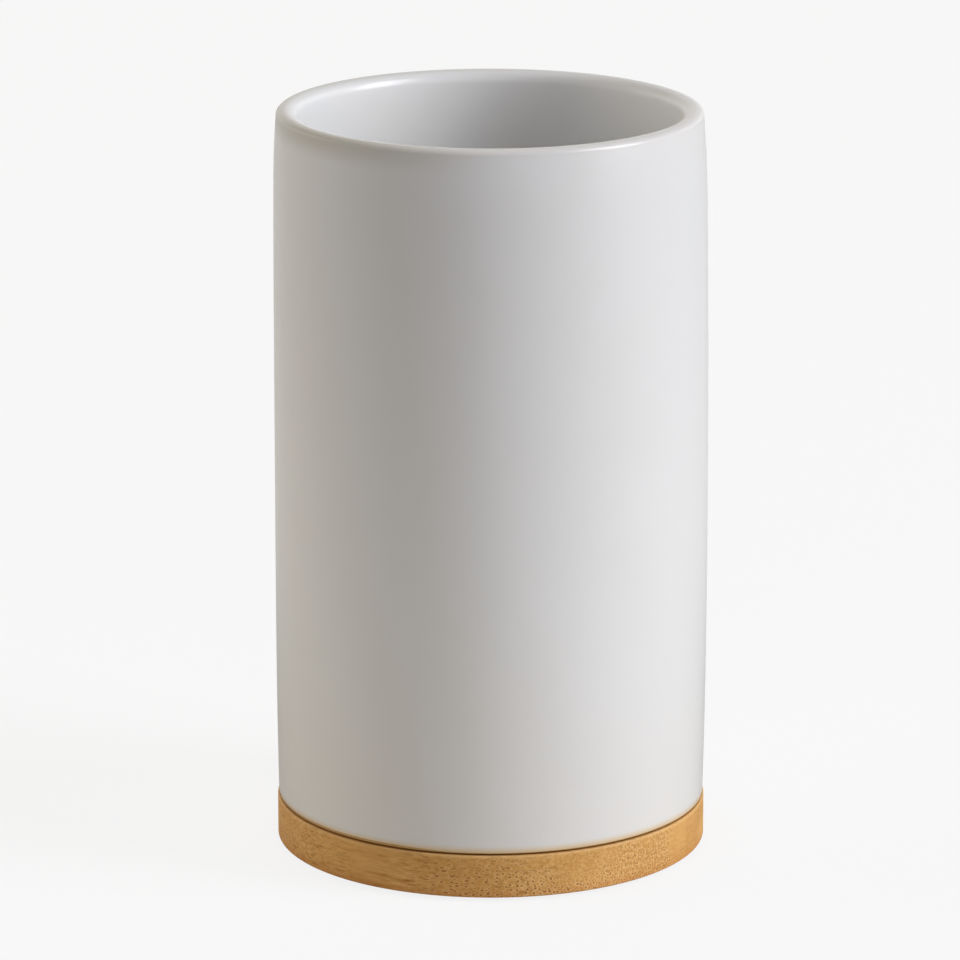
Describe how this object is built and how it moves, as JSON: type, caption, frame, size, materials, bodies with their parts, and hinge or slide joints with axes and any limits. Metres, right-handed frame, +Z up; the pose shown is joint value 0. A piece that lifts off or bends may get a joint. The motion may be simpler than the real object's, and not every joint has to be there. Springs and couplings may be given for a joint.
{
  "type": "toothbrush holder",
  "caption": "Open glazed ceramic tumbler for toothbrushes, its stepped foot seated in a round turned bamboo base with non-slip pads.",
  "frame": {"origin": "on the surface that the holder stands on, under the centre of its base", "axes": "+Z up along the cup's turning axis; the side that the picture shows faces -Y"},
  "size_m": [0.0704, 0.0704, 0.1216],
  "materials": {
    "glaze": "off-white semi-gloss glaze, bare stoneware under the foot",
    "bamboo": "caramelised laminated bamboo, turned and oiled, satin",
    "clear_silicone": "translucent silicone, satin",
    "pad_silicone": "grey silicone, matte"
  },
  "bodies": {
    "base": {"bamboo_base": "bamboo", "seat_ring": "clear_silicone", "foot_pad_1": "pad_silicone", "foot_pad_2": "pad_silicone", "foot_pad_3": "pad_silicone", "foot_pad_4": "pad_silicone"},
    "cup": {"ceramic_cup": "glaze"}
  },
  "joints": [
    {"name": "cup_lift", "type": "slide", "parent": "base", "child": "cup", "axis": [0, 0, 1], "range_m": [0, 0.06]}
  ]
}
